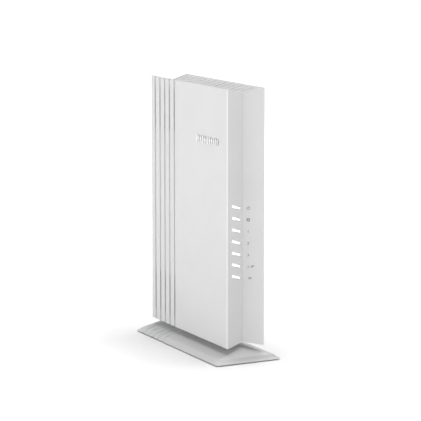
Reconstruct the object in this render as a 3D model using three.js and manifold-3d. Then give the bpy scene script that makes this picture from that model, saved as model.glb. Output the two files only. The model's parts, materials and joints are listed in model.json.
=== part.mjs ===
// A tower modem gateway: two moulded shells that meet along a shallow valley, a recessed connector
// panel at the rear, the circuit board and its parts inside, and a roof-shaped stand underneath.
// Millimetres, +Z up. The narrow front with the indicator windows faces -Y, the connectors face +Y,
// the large left face is at -X. The origin is on the surface that the stand rests on, below its middle.
import * as THREE from 'three';
import { ConvexGeometry } from 'three/addons/geometries/ConvexGeometry.js';
import { mergeVertices } from 'three/addons/utils/BufferGeometryUtils.js';
import Module from 'manifold-3d';

const wasm = await Module();
wasm.setup();

// ---- Driving dimensions ----
const GAP = 0.3; // clearance between neighbouring pieces

const BODY_HEIGHT = 222;
const BODY_LENGTH = 148;
const BODY_THICKNESS = 36;
const BODY_BOTTOM = 12.8; // height of the body above the table
const FRONT_VALLEY = 6; // how far the front edge folds in at mid thickness
const REAR_VALLEY = 7.5;
const END_VALLEY = 4; // the same for the top and the bottom
const EDGE_ROUND = 1.1;
const FACE_WALL = 2.2; // thickness of the two large walls
const EDGE_WALL = 2.4; // thickness of the narrow walls, along Y or Z
const SEAM = GAP / 2; // each shell stops this far from mid thickness

const RIB_PITCH = 9.6; // grooves in the faces, vents in the top and grooves in the stand share it
const FIRST_GROOVE = 8.7; // from the rear edge
const GROOVES = 5;
const GROOVE_WIDTH = 2.6;
const GROOVE_DEPTH = 1.2;
const SLOT_NEAR_END = 9.5; // the open part of each groove, from the top or bottom edge
const SLOT_FAR_END = 46;
const VENTS = 14;
const VENT_WIDTH = 2.4;
const VENT_INNER = 2;
const VENT_OUTER = 14.5;
const BOTTOM_VENT_INNER = 9.5;

const LIGHTS = 7;
const LIGHT_PITCH = 10;
const TOP_LIGHT = 133.9;
const WINDOW_X = -7.45;
const WINDOW_LENGTH = 10.5;
const WINDOW_HEIGHT = 2.6;
const WINDOW_RECESS = 0.4; // how far the light pipe's ends lie below the front wall
const WINDOW_TILT = THREE.MathUtils.degToRad(17); // each window slopes down towards the valley

const PANEL_HALF = 9.5; // visible half width of the rear panel
const PANEL_FLANGE = 12.2;
const PANEL_BOTTOM = 40;
const PANEL_TOP = 200;
const PANEL_OUTSIDE = 66.2;
const PANEL_INSIDE = 64.2;

const BOARD_LEFT = -8.35;
const BOARD_RIGHT = -6.75; // the side that carries the parts
const BOARD_FRONT = -60;
const BOARD_REAR = 58;
const BOARD_BOTTOM = 26;
const BOARD_TOP = 214;
const ON_BOARD = BOARD_RIGHT + GAP; // where the parts on the board start

const SCREW_UPPER = 193; // rear panel screws
const PAIR_BUTTON = 181;
const RESET_BUTTON = 171;
const COAX = 156;
const LAN_PORTS = [134, 114, 94];
const POWER_BUTTON = 74;
const POWER_JACK = 59;
const SCREW_LOWER = 47;

const STAND_WIDTH = 62;
const STAND_LENGTH = 160;
const STAND_UNDERSIDE = 1;
const BEVEL = 5; // inset of the crease all round
const CREASE_HEIGHT = 4.8;
const RIDGE_HEIGHT = 11.8;
const RIDGE_FRONT_INSET = 14.9;
const RIDGE_REAR_INSET = 7.2;
const NECK_HALF = 4.5;
const NECK_FRONT = -50;
const NECK_REAR = 60;
const NECK_TOP = 21.2;
const STAND_SCREWS = [-42, 42];

// ---- Materials ----
const finish = (color, roughness, metalness = 0) => ({ color, roughness, metalness });
const WHITE = finish(0xe6e6e6, 0.55);
const PANEL_GREY = finish(0xd2d3d4, 0.6);
const WINDOW_WHITE = finish(0xffffff, 0.3);
const SOFT_GREY = finish(0x8a8c8f, 0.7);
const BLACK_PLASTIC = finish(0x1c1d1f, 0.5);
const RUBBER = finish(0x3a3b3c, 0.9);
const FOAM = finish(0x2a2a2a, 0.95);
const BOARD_GREEN = finish(0x1f5a3a, 0.45);
const CHIP = finish(0x202225, 0.4);
const PAD = finish(0x9aa7b0, 0.8);
const STEEL = finish(0x9c9fa3, 0.35, 1);
const TIN = finish(0xb9bcbe, 0.3, 1);
const ALUMINIUM = finish(0xa9adb1, 0.4, 1);
const NICKEL = finish(0xb4b1a8, 0.25, 1);
const GOLD = finish(0xc9a24b, 0.25, 1);
const PTFE = finish(0xf1efe8, 0.5);
const CABLE = finish(0x55585c, 0.5);

// ---- Solids ----
function solidOf(geometry) {
  const bare = new THREE.BufferGeometry();
  bare.setAttribute('position', geometry.getAttribute('position'));
  bare.setIndex(geometry.index);
  const merged = mergeVertices(bare, 1e-4);
  return new wasm.Manifold(
    new wasm.Mesh({
      numProp: 3,
      vertProperties: new Float32Array(merged.getAttribute('position').array),
      triVerts: new Uint32Array(merged.index.array),
    }),
  );
}

function box([x0, x1], [y0, y1], [z0, z1]) {
  const shape = new THREE.BoxGeometry(x1 - x0, y1 - y0, z1 - z0);
  shape.translate((x0 + x1) / 2, (y0 + y1) / 2, (z0 + z1) / 2);
  return solidOf(shape);
}

const around = (middle, half) => [middle - half, middle + half];

// A round bar along an axis, from one place on that axis to another; centre gives the other two.
function rod(axis, radius, [from, to], [first, second], sides = 24) {
  const shape = new THREE.CylinderGeometry(radius, radius, to - from, sides);
  const middle = (from + to) / 2;
  if (axis === 'x') {
    shape.rotateZ(-Math.PI / 2);
    shape.translate(middle, first, second);
  } else if (axis === 'y') {
    shape.translate(first, middle, second);
  } else {
    shape.rotateX(Math.PI / 2);
    shape.translate(first, second, middle);
  }
  return solidOf(shape);
}

// A turned piece whose axis runs along +Y through (x, z); the profile is [radius, y] pairs.
function turned(profile, x, z, sides = 24) {
  const shape = new THREE.LatheGeometry(
    profile.map(([radius, y]) => new THREE.Vector2(radius, y)),
    sides,
  );
  shape.translate(x, 0, z);
  return solidOf(shape);
}

const hull = (points) => solidOf(new ConvexGeometry(points.map((p) => new THREE.Vector3(...p))));
const join = (pieces) => pieces.reduce((whole, piece) => whole.add(piece));
const cut = (solid, tools) => tools.reduce((rest, tool) => rest.subtract(tool), solid);

const root = new THREE.Group();

function place(name, solid, material) {
  const { vertProperties, triVerts } = solid.getMesh();
  const geometry = new THREE.BufferGeometry();
  geometry.setAttribute('position', new THREE.BufferAttribute(vertProperties, 3));
  geometry.setIndex(new THREE.BufferAttribute(triVerts, 1));
  geometry.computeVertexNormals();
  const mesh = new THREE.Mesh(geometry, new THREE.MeshStandardMaterial(material));
  mesh.name = name;
  root.add(mesh);
}

// ---- Body shells ----
const FACE_X = BODY_THICKNESS / 2;
const BODY_TOP = BODY_BOTTOM + BODY_HEIGHT;
const grooveY = (index) => BODY_LENGTH / 2 - FIRST_GROOVE - index * RIB_PITCH;

// The body's outline at a distance from mid thickness, moved in by an inset: a full rectangle at
// the faces, folded in at mid thickness.
function outlineAt(x, inset) {
  const fold = 1 - Math.abs(x) / FACE_X;
  const front = -BODY_LENGTH / 2 + FRONT_VALLEY * fold + inset;
  const rear = BODY_LENGTH / 2 - REAR_VALLEY * fold - inset;
  const bottom = BODY_BOTTOM + END_VALLEY * fold + inset;
  const top = BODY_TOP - END_VALLEY * fold - inset;
  return [
    [x, front, bottom],
    [x, rear, bottom],
    [x, rear, top],
    [x, front, top],
  ];
}

function shellOutside(side) {
  const points = outlineAt(side * SEAM, 0);
  for (const angle of [0, 30, 60, 90]) {
    const turn = THREE.MathUtils.degToRad(angle);
    const inset = EDGE_ROUND * (1 - Math.cos(turn));
    const x = FACE_X - EDGE_ROUND * (1 - Math.sin(turn));
    points.push(...outlineAt(side * x, inset));
  }
  return hull(points);
}

const shellInside = (side) =>
  hull([...outlineAt(side * (FACE_X - FACE_WALL), EDGE_WALL), ...outlineAt(-side * SEAM, EDGE_WALL)]);

const sideRange = (side, inner, outer) => (side < 0 ? [-outer, -inner] : [inner, outer]);

function grooveCuts(side) {
  const shallow = sideRange(side, FACE_X - GROOVE_DEPTH, FACE_X + 1);
  const through = sideRange(side, FACE_X - FACE_WALL - 1, FACE_X + 1);
  const cuts = [];
  for (let i = 0; i < GROOVES; i += 1) {
    const width = around(grooveY(i), GROOVE_WIDTH / 2);
    cuts.push(box(shallow, width, [BODY_BOTTOM - 1, BODY_TOP + 1]));
    cuts.push(box(through, width, [BODY_TOP - SLOT_FAR_END, BODY_TOP - SLOT_NEAR_END]));
    cuts.push(box(through, width, [BODY_BOTTOM + SLOT_NEAR_END, BODY_BOTTOM + SLOT_FAR_END]));
  }
  return cuts;
}

function ventCuts(side) {
  const upper = sideRange(side, VENT_INNER, VENT_OUTER);
  const lower = sideRange(side, BOTTOM_VENT_INNER, VENT_OUTER);
  const cuts = [];
  for (let i = 0; i < VENTS; i += 1) {
    const width = around(grooveY(i), VENT_WIDTH / 2);
    cuts.push(box(upper, width, [BODY_TOP - 8, BODY_TOP + 1]));
    cuts.push(box(lower, width, [BODY_BOTTOM - 1, BODY_BOTTOM + 7]));
  }
  return cuts;
}

const neckSlot = box(
  [-NECK_HALF - GAP, NECK_HALF + GAP],
  [NECK_FRONT - GAP, NECK_REAR + GAP],
  [BODY_BOTTOM - 1, NECK_TOP],
);
const panelOpening = box(
  [-PANEL_HALF - GAP, PANEL_HALF + GAP],
  [60, BODY_LENGTH / 2 + 1],
  [PANEL_BOTTOM - GAP, PANEL_TOP + GAP],
);

const windowZ = (index) => TOP_LIGHT - index * LIGHT_PITCH;

// A bar along Y behind or inside indicator window number index, sloping as the window does.
function windowBar(index, [y0, y1], length, height) {
  const shape = new THREE.BoxGeometry(length, y1 - y0, height);
  shape.rotateY(WINDOW_TILT);
  shape.translate(WINDOW_X, (y0 + y1) / 2, windowZ(index));
  return solidOf(shape);
}

const everyLight = [...Array(LIGHTS).keys()];

const BOSS_PLACES = [
  [-52, 34],
  [-52, 206],
  [44, 34],
  [44, 206],
];
const insideFace = FACE_X - FACE_WALL + 0.5; // inner parts run a little into the wall they stand on

function shell(side) {
  let solid = cut(shellOutside(side), [shellInside(side), neckSlot, panelOpening]);
  solid = cut(solid, [...grooveCuts(side), ...ventCuts(side)]);
  // A block that a rear panel screw goes into, and two rests for the stand bracket.
  const screwZ = side < 0 ? SCREW_UPPER : SCREW_LOWER;
  const blockX = side < 0 ? [-insideFace, 3.5] : [-3.5, insideFace];
  const block = cut(box(blockX, [58.6, PANEL_INSIDE - GAP], around(screwZ, 3.5)), [
    rod('y', 1.6, [58, 65], [0, screwZ], 12),
  ]);
  const rests = [-48, 48].map((y) => box(sideRange(side, 5.2, 8), around(y, 2), [17.5, NECK_TOP]));
  return join([solid, block, ...rests]);
}

const bosses = BOSS_PLACES.map(([y, z]) =>
  rod('x', 3.2, [-insideFace, BOARD_LEFT - GAP], [y, z], 16).subtract(
    rod('x', 1.5, [BOARD_LEFT - 5.5, BOARD_LEFT], [y, z], 12),
  ),
);
const windows = everyLight.map((i) => windowBar(i, [-80, -55], WINDOW_LENGTH, WINDOW_HEIGHT));

place('left_shell', cut(join([shell(-1), ...bosses]), windows), WHITE);
place('right_shell', shell(1), WHITE);

// ---- Indicator lights ----
const PIPE_BACK = [-65.5, -63];
const pipeFingers = everyLight.map((i) =>
  windowBar(i, [-80, PIPE_BACK[1]], WINDOW_LENGTH - 2 * GAP, WINDOW_HEIGHT - 2 * GAP),
);
const pipeSpine = box([-9.5, -5.5], PIPE_BACK, [windowZ(LIGHTS - 1) - 3, TOP_LIGHT + 3]);
const pipeEnds = shellOutside(-1).translate([0, WINDOW_RECESS, 0]);
place('light_pipe', join(pipeFingers).intersect(pipeEnds).add(pipeSpine), WINDOW_WHITE);

const LED_X = -5.8;
const gasket = cut(
  box([-6.4, -3.8], [-62.7, -60.4], [windowZ(LIGHTS - 1) - 4, TOP_LIGHT + 4]),
  everyLight.map((i) => box(around(LED_X, 0.9).map((x) => x + 0.7), [-64, -59], around(windowZ(i), 1.5))),
);
place('light_gasket', gasket, FOAM);
const ledStrip = box([ON_BOARD, ON_BOARD + 0.5], [-59.9, -56], [windowZ(LIGHTS - 1) - 4, TOP_LIGHT + 4]);
const leds = everyLight.map((i) => box([ON_BOARD + 0.3, -5], [-59.9, -58.3], around(windowZ(i), 0.8)));
place('led_strip', join([ledStrip, ...leds]), PTFE);

// ---- Raised mark on the left face: a plain row of upright bars on a thin middle rail ----
const MARK_BARS = 12;
const MARK_PITCH = 3.4;
const MARK_FRONT = -57;
const MARK_MIDDLE = 188.1;
const markHeight = (index) => 3.4 + 2.6 * Math.abs(Math.sin((index + 0.5) * 0.95));
const MARK_BACK = -FACE_X - GAP;
const markBars = [...Array(MARK_BARS).keys()].map((i) =>
  box(
    [MARK_BACK - 0.8, MARK_BACK],
    around(MARK_FRONT + i * MARK_PITCH, 0.75),
    around(MARK_MIDDLE, markHeight(i) / 2),
  ),
);
const markRail = box(
  [MARK_BACK - 0.4, MARK_BACK],
  [MARK_FRONT, MARK_FRONT + (MARK_BARS - 1) * MARK_PITCH],
  around(MARK_MIDDLE, 0.4),
);
place('front_badge', join([markRail, ...markBars]), WINDOW_WHITE);

// ---- Rear connector panel ----
const LAN_HALF_WIDTH = 7.95;
const LAN_TOP_X = 6.75;
const panelCuts = [
  ...LAN_PORTS.map((z) =>
    box([ON_BOARD - GAP, LAN_TOP_X + GAP], [60, 70], around(z, LAN_HALF_WIDTH + GAP)),
  ),
  rod('y', 5.2, [60, 70], [0, COAX]),
  rod('y', 4.5, [60, 70], [0, POWER_BUTTON]),
  rod('y', 1.4, [60, 70], [0, RESET_BUTTON], 16),
  box([-2.3, 2.3], [60, 70], around(PAIR_BUTTON, 3.8)),
  box([ON_BOARD - GAP, 4.8], [60, 70], around(POWER_JACK, 4.8)),
  rod('y', 1.7, [60, 70], [0, SCREW_UPPER], 16),
  rod('y', 1.7, [60, 70], [0, SCREW_LOWER], 16),
];
place(
  'rear_panel',
  cut(
    box([-PANEL_FLANGE, PANEL_FLANGE], [PANEL_INSIDE, PANEL_OUTSIDE], [PANEL_BOTTOM, PANEL_TOP]),
    panelCuts,
  ),
  PANEL_GREY,
);

// ---- Network jacks ----
const LAN_MOUTH = 66.7;
const CONTACTS = 8;
const CONTACT_PITCH = 1.02;

function lanShield(z) {
  const outer = box([ON_BOARD, LAN_TOP_X], [50, LAN_MOUTH], around(z, LAN_HALF_WIDTH));
  const inner = box([ON_BOARD - 1, LAN_TOP_X - 0.4], [50.4, LAN_MOUTH + 1], around(z, 7.55));
  return outer.subtract(inner);
}

function lanInsert(z) {
  const outer = box([-6.15, 6.05], [50.7, LAN_MOUTH - 0.3], around(z, 7.25));
  const mouth = box([-4.1, 4.2], [54, LAN_MOUTH + 1], around(z, 5.9));
  const latch = box([4.1, 5.3], [54, LAN_MOUTH + 1], around(z, 3.1));
  return cut(outer, [mouth, latch]);
}

// Eight spring wires that rise from the floor of the mouth to a carrier bar near its back.
function lanContacts(z) {
  const wires = [];
  for (let i = 0; i < CONTACTS; i += 1) {
    const wire = new THREE.BoxGeometry(0.4, 8.6, 0.45);
    wire.rotateZ(THREE.MathUtils.degToRad(14));
    wire.translate(-2.5, 59.4, z + (i - (CONTACTS - 1) / 2) * CONTACT_PITCH);
    wires.push(solidOf(wire));
  }
  return join([box([-2, -0.8], [54.4, 56.2], around(z, 4.4)), ...wires]);
}

LAN_PORTS.forEach((z, index) => {
  const name = `lan_port_${index + 1}`;
  place(`${name}_shield`, lanShield(z), TIN);
  place(`${name}_insert`, lanInsert(z), BLACK_PLASTIC);
  place(`${name}_contacts`, lanContacts(z), GOLD);
});

// ---- Coaxial connector ----
const BARREL = 4.75;
const BARREL_END = 73.8;
const THREAD_START = 69.4;
const THREAD_PITCH = 0.8;

function coaxBody() {
  const thread = [];
  for (let y = THREAD_START; y < BARREL_END - THREAD_PITCH; y += THREAD_PITCH) {
    thread.push([BARREL - 0.45, y], [BARREL, y + THREAD_PITCH / 2]);
  }
  const barrel = turned(
    [[0, 59], [BARREL, 59], [BARREL, THREAD_START - 0.2], ...thread, [BARREL - 0.4, BARREL_END], [0, BARREL_END]],
    0,
    COAX,
  );
  const base = box([ON_BOARD, 6.4], [46, 60], around(COAX, 6.8));
  return base.add(barrel).subtract(rod('y', 3.4, [62, 75], [0, COAX]));
}

place('coax_connector', coaxBody(), NICKEL);
place(
  'coax_insulator',
  rod('y', 3.1, [62.3, BARREL_END - 0.4], [0, COAX]).subtract(rod('y', 0.7, [64, 75], [0, COAX], 12)),
  PTFE,
);
place(
  'coax_nut',
  rod('y', 6.6, [PANEL_OUTSIDE + GAP, THREAD_START - GAP], [0, COAX], 6).subtract(
    rod('y', BARREL + GAP, [60, 75], [0, COAX]),
  ),
  NICKEL,
);

// ---- Power jack ----
place(
  'power_jack',
  box([ON_BOARD, 4.5], [52, LAN_MOUTH], around(POWER_JACK, 4.5)).subtract(
    rod('y', 3.15, [56.5, 70], [-0.3, POWER_JACK]),
  ),
  BLACK_PLASTIC,
);
place('power_jack_pin', rod('y', 1.05, [56.8, 65.8], [-0.3, POWER_JACK], 16), NICKEL);

// ---- Power button: a latching push switch; the cap and the plunger move together ----
const capOutside = PANEL_INSIDE - GAP;
place(
  'power_button',
  join([
    rod('y', 4.2, [capOutside - 1, 68.6], [0, POWER_BUTTON], 32),
    rod('y', 5.2, [capOutside - 1.5, capOutside], [0, POWER_BUTTON], 32),
    box([-1.6, 1.6], [58, 63], around(POWER_BUTTON, 1.6)),
  ]),
  SOFT_GREY,
);
place('power_switch_plunger', box([-1.3, 1.3], [51.5, 57.7], around(POWER_BUTTON, 1.3)), BLACK_PLASTIC);
place(
  'power_switch',
  box([ON_BOARD, 3.5], [44, 54.5], around(POWER_BUTTON, 5)).subtract(
    box([-1.7, 1.7], [48.5, 55], around(POWER_BUTTON, 1.7)),
  ),
  BLACK_PLASTIC,
);

// ---- Pairing and reset buttons, each over its own small switch ----
function smallSwitch(z) {
  return box([ON_BOARD, 3.2], [53.5, 57.5], around(z, 3.2)).subtract(
    rod('y', 1.6, [54.5, 60], [0, z], 16),
  );
}

place(
  'pairing_button',
  join([
    box([-2, 2], [capOutside - 1, 67.4], around(PAIR_BUTTON, 3.5)),
    box([-3, 3], [capOutside - 1.4, capOutside], around(PAIR_BUTTON, 4.4)),
    rod('y', 1.2, [56.5, 63], [0, PAIR_BUTTON], 16),
  ]),
  SOFT_GREY,
);
place('pairing_switch', smallSwitch(PAIR_BUTTON), BLACK_PLASTIC);
place('reset_button', rod('y', 1, [56.5, 64.6], [0, RESET_BUTTON], 16), SOFT_GREY);
place('reset_switch', smallSwitch(RESET_BUTTON), BLACK_PLASTIC);

// ---- Circuit board ----
const PIN_PLACES = [
  [-38, 82],
  [18, 138],
];
place(
  'main_board',
  cut(box([BOARD_LEFT, BOARD_RIGHT], [BOARD_FRONT, BOARD_REAR], [BOARD_BOTTOM, BOARD_TOP]), [
    ...BOSS_PLACES.map(([y, z]) => rod('x', 1.7, [-10, -5], [y, z], 12)),
    ...PIN_PLACES.map(([y, z]) => rod('x', 1.8, [-10, -5], [y, z], 12)),
  ]),
  BOARD_GREEN,
);

// A plain block that stands on the board, given by its middle, its half sizes and its height.
const onBoard = ([y, z], [halfY, halfZ], height) =>
  box([ON_BOARD, ON_BOARD + height], around(y, halfY), around(z, halfZ));

const CORE = [-10, 110];
const CORE_TOP = ON_BOARD + 1.8;
const PAD_TOP = CORE_TOP + GAP + 0.7;
const SINK_BASE = PAD_TOP + GAP;
const SINK_PLATE = SINK_BASE + 3;
place('processor', onBoard(CORE, [13.5, 13.5], 1.8), CHIP);
place('thermal_pad', box([CORE_TOP + GAP, PAD_TOP], around(CORE[0], 12), around(CORE[1], 12)), PAD);
place('memory_chip', onBoard([-26, 155], [5.5, 5], 1.1), CHIP);
place('port_transformer', onBoard([37, LAN_PORTS[1]], [7, 26], 5.5), BLACK_PLASTIC);
place('input_capacitor', rod('x', 4, [ON_BOARD, ON_BOARD + 11], [30, 52], 20), CHIP);

// A pressed metal can over radio parts, open towards the board.
function shieldCan([y0, y1], [z0, z1], height) {
  const inner = box([ON_BOARD - 1, ON_BOARD + height - 0.4], [y0 + 0.4, y1 - 0.4], [z0 + 0.4, z1 - 0.4]);
  return box([ON_BOARD, ON_BOARD + height], [y0, y1], [z0, z1]).subtract(inner);
}

place('tuner_shield', shieldCan([12, 43], [145, 169], 5), TIN);
place('radio_shield', shieldCan([-50, -18], [168, 204], 3), TIN);

// ---- Heat sink and its sprung pins ----
const FINS = 9;
const FIN_TOP = 11.5;
const SINK_HALF = 35;
const fins = [...Array(FINS).keys()].map((i) =>
  box(
    [SINK_PLATE - 0.5, FIN_TOP],
    around(CORE[0] + (i - (FINS - 1) / 2) * 8.4, 0.7),
    around(CORE[1], SINK_HALF),
  ),
);
place(
  'heat_sink',
  cut(
    join([
      box([SINK_BASE, SINK_PLATE], around(CORE[0], SINK_HALF), around(CORE[1], SINK_HALF)),
      ...fins,
    ]),
    PIN_PLACES.flatMap(([y, z]) => [
      rod('x', 1.9, [-10, 12], [y, z], 12),
      rod('x', 5, [SINK_PLATE, 12], [y, z], 16),
    ]),
  ),
  ALUMINIUM,
);

const PIN_HEAD = 8.2;
// A coil spring between the plate and each pin's head.
function coilSpring(y, z, from, to, turns) {
  const WIRE = 0.35;
  const COIL = 2.6;
  class Helix extends THREE.Curve {
    getPoint(t, target = new THREE.Vector3()) {
      const angle = t * turns * 2 * Math.PI;
      const x = from + WIRE + (to - from - 2 * WIRE) * t;
      return target.set(x, y + COIL * Math.cos(angle), z + COIL * Math.sin(angle));
    }
  }
  const section = new THREE.Shape();
  for (let i = 0; i < 6; i += 1) {
    const angle = (i * Math.PI) / 3;
    const corner = [WIRE * Math.cos(angle), WIRE * Math.sin(angle)];
    if (i === 0) section.moveTo(...corner);
    else section.lineTo(...corner);
  }
  const shape = new THREE.ExtrudeGeometry(section, {
    steps: turns * 12,
    extrudePath: new Helix(),
    bevelEnabled: false,
  });
  return solidOf(shape);
}

PIN_PLACES.forEach(([y, z], index) => {
  const shank = rod('x', 1.4, [-10.2, PIN_HEAD], [y, z], 12);
  const head = rod('x', 3.4, [PIN_HEAD - 0.2, PIN_HEAD + 1.2], [y, z], 16);
  place(`sink_pin_${index + 1}`, shank.add(head), BLACK_PLASTIC);
  place(`sink_spring_${index + 1}`, coilSpring(y, z, SINK_PLATE + GAP, PIN_HEAD - 0.2 - GAP, 4), STEEL);
});

// ---- Antennas and their leads, each with the plug that presses onto the board ----
const ANTENNA_X = [13.6, 14.6];
const PLUG_TOP = ON_BOARD + 1.2;
place('front_antenna', box(ANTENNA_X, [-55, -45], [165, 210]), BOARD_GREEN);
place('rear_antenna', box(ANTENNA_X, [20, 30], [165, 210]), BOARD_GREEN);

function lead(points) {
  const [, plugY, plugZ] = points[points.length - 1];
  const plug = rod('x', 1.5, [ON_BOARD, PLUG_TOP + 0.4], [plugY, plugZ], 16);
  const path = new THREE.CatmullRomCurve3(points.map((p) => new THREE.Vector3(...p)));
  const section = new THREE.Shape();
  for (let i = 0; i < 8; i += 1) {
    const angle = (i * Math.PI) / 4;
    const corner = [0.6 * Math.cos(angle), 0.6 * Math.sin(angle)];
    if (i === 0) section.moveTo(...corner);
    else section.lineTo(...corner);
  }
  const wire = new THREE.ExtrudeGeometry(section, { steps: 22, extrudePath: path, bevelEnabled: false });
  return solidOf(wire).add(plug);
}

place(
  'front_antenna_lead',
  lead([[12.4, -50, 172], [9, -50, 164], [3, -49, 157], [-2, -48, 152], [PLUG_TOP, -48, 150]]),
  CABLE,
);
place(
  'rear_antenna_lead',
  lead([[12.4, 25, 172], [9, 21, 166], [5, 13, 161], [1, 6, 157], [-2.5, 2.6, 154.6], [PLUG_TOP, 2, 154]]),
  CABLE,
);

// ---- Fasteners above the stand ----
// A pan-head screw along an axis: its shank runs from one place to another, its head covers a range.
function screw(axis, centre, shank, shankRadius, head, headRadius) {
  return rod(axis, shankRadius, shank, centre, 12).add(rod(axis, headRadius, head, centre, 16));
}

BOSS_PLACES.forEach((centre, index) => {
  const body = screw('x', centre, [BOARD_LEFT - 5, ON_BOARD + 1], 1.2, [ON_BOARD, ON_BOARD + 1.8], 2.8);
  place(`board_screw_${index + 1}`, body, STEEL);
});
for (const [name, z] of [['panel_screw_upper', SCREW_UPPER], ['panel_screw_lower', SCREW_LOWER]]) {
  const head = [PANEL_OUTSIDE + GAP, PANEL_OUTSIDE + 1.9];
  place(name, screw('y', [0, z], [59.2, 67], 1.3, head, 2.8), STEEL);
}

// ---- Stand ----
const standHalf = [STAND_WIDTH / 2, STAND_LENGTH / 2];

function rectangleAt(z, halfX, halfY) {
  return [
    [-halfX, -halfY, z],
    [halfX, -halfY, z],
    [halfX, halfY, z],
    [-halfX, halfY, z],
  ];
}

const standOutside = hull([
  ...rectangleAt(STAND_UNDERSIDE, ...standHalf),
  ...rectangleAt(CREASE_HEIGHT, standHalf[0] - BEVEL, standHalf[1] - BEVEL),
  [0, -standHalf[1] + RIDGE_FRONT_INSET, RIDGE_HEIGHT],
  [0, standHalf[1] - RIDGE_REAR_INSET, RIDGE_HEIGHT],
]);

const COVER_HALF = [25.4, 74.4];
const standRecess = box(
  around(0, COVER_HALF[0] + GAP),
  around(0, COVER_HALF[1] + GAP),
  [STAND_UNDERSIDE - 1, 3.8],
);
const standHollow = hull([
  ...rectangleAt(3.7, 23.5, 72.5),
  [0, -64, RIDGE_HEIGHT - 2.2],
  [0, 70, RIDGE_HEIGHT - 2.2],
]);
const standGrooves = join(
  [...Array(GROOVES).keys()].map((i) =>
    box([-40, 40], around(grooveY(i), GROOVE_WIDTH / 2), [0, 20]),
  ),
).subtract(standOutside.translate([0, 0, -0.8]));
const neck = box([-NECK_HALF, NECK_HALF], [NECK_FRONT, NECK_REAR], [7, NECK_TOP]);

place(
  'stand_cover',
  cut(
    join([
      cut(standOutside, [standRecess, standHollow, standGrooves]),
      neck,
    ]),
    [
      ...STAND_SCREWS.map((y) => rod('z', 1.75, [5, 25], [0, y], 16)),
      ...STAND_SCREWS.map((y) => rod('z', 3.3, [5, 13], [0, y], 20)),
    ],
  ),
  WHITE,
);

const FOOT_PLACES = {
  foot_front_left: [-19, -68],
  foot_front_right: [19, -68],
  foot_rear_left: [-19, 68],
  foot_rear_right: [19, 68],
};
const FOOT_RADIUS = 4.5;
place(
  'stand_bottom_cover',
  cut(box(around(0, COVER_HALF[0]), around(0, COVER_HALF[1]), [1.6, 3.5]), [
    ...Object.values(FOOT_PLACES).map(([x, y]) => rod('z', FOOT_RADIUS + GAP, [1, 2.3], [x, y], 20)),
  ]),
  WHITE,
);
for (const [name, centre] of Object.entries(FOOT_PLACES)) {
  place(name, rod('z', FOOT_RADIUS, [0, 2], centre, 20), RUBBER);
}

const BRACKET = [NECK_TOP + GAP, NECK_TOP + GAP + 2];
place(
  'stand_bracket',
  cut(
    box([-9, 9], [-52, 52], BRACKET),
    STAND_SCREWS.map((y) => rod('z', 1.75, [20, 25], [0, y], 16)),
  ),
  STEEL,
);
for (const [name, y] of [['stand_screw_front', STAND_SCREWS[0]], ['stand_screw_rear', STAND_SCREWS[1]]]) {
  place(name, screw('z', [0, y], [11, BRACKET[1] + 1.2], 1.45, [10.4, 12.7], 2.9), STEEL);
}

export default root;
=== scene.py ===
"""A white tower modem gateway: fine meshes, materials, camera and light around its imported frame.

Metres, +Z up. The front with the light windows faces -Y, the connectors face +Y, and the large
face with the raised mark is at -X. Lengths below are in millimetres until mm() turns them.
"""

import json
import math

import bmesh
import bpy
from mathutils import Matrix, Vector


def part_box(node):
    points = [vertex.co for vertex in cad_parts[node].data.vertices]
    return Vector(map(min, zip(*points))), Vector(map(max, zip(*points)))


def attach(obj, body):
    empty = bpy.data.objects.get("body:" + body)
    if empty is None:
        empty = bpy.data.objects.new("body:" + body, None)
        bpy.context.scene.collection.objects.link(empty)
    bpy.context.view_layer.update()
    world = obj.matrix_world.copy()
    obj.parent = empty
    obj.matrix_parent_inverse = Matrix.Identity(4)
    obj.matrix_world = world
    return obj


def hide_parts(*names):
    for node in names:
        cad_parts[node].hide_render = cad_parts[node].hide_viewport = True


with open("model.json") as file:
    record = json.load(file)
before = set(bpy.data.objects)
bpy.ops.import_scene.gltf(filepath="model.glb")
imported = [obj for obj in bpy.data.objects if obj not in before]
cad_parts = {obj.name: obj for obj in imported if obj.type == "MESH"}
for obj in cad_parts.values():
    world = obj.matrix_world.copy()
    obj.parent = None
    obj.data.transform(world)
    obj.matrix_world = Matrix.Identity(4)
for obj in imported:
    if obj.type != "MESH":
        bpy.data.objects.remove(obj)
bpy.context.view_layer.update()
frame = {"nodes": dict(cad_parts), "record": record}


def mm(*values):
    """Millimetres as metres: one number, or a vector of three."""
    return values[0] / 1000 if len(values) == 1 else Vector(values) / 1000


def middle(node):
    """The middle of a CAD node's box."""
    low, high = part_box(node)
    return (Vector(low) + Vector(high)) / 2


# ---------------------------------------------------------------- camera, floor and light

def add_camera():
    """The angle and distance that the object is seen from: low, well to the left of its front."""
    turn = math.radians(27.16)  # to the left of straight ahead
    pitch = math.radians(9.02)
    data = bpy.data.cameras.new("camera")
    data.sensor_width = 36
    data.lens = 171.85
    camera = bpy.data.objects.new("camera", data)
    camera.location = (-0.7919, -1.5515, 0.3973)
    forward = Vector((
        math.sin(turn) * math.cos(pitch),
        math.cos(turn) * math.cos(pitch),
        -math.sin(pitch),
    ))
    camera.rotation_euler = forward.to_track_quat("-Z", "Y").to_euler()
    bpy.context.scene.collection.objects.link(camera)
    bpy.context.scene.camera = camera


HORIZON = 1.0  # brightness of the surroundings, low down
SKY = 0.33  # and high up
GLOW_NEAR = 0.05  # of the floor, at the stand's edge
GLOW_FAR = 0.64
GLOW_REACH = 0.6
LAMPS = (
    ("overhead", (0, 0, 2.6), 1.5, 41),
    ("overhead_right", (1.1, -0.1, 2.3), 1.2, 12),
    ("low_left", (-2.6, -0.4, 0.2), 0.45, 12),
    ("low_front_left", (-1.9, -1.8, 0.2), 0.45, 13),
)  # name, place, size and power


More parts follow.
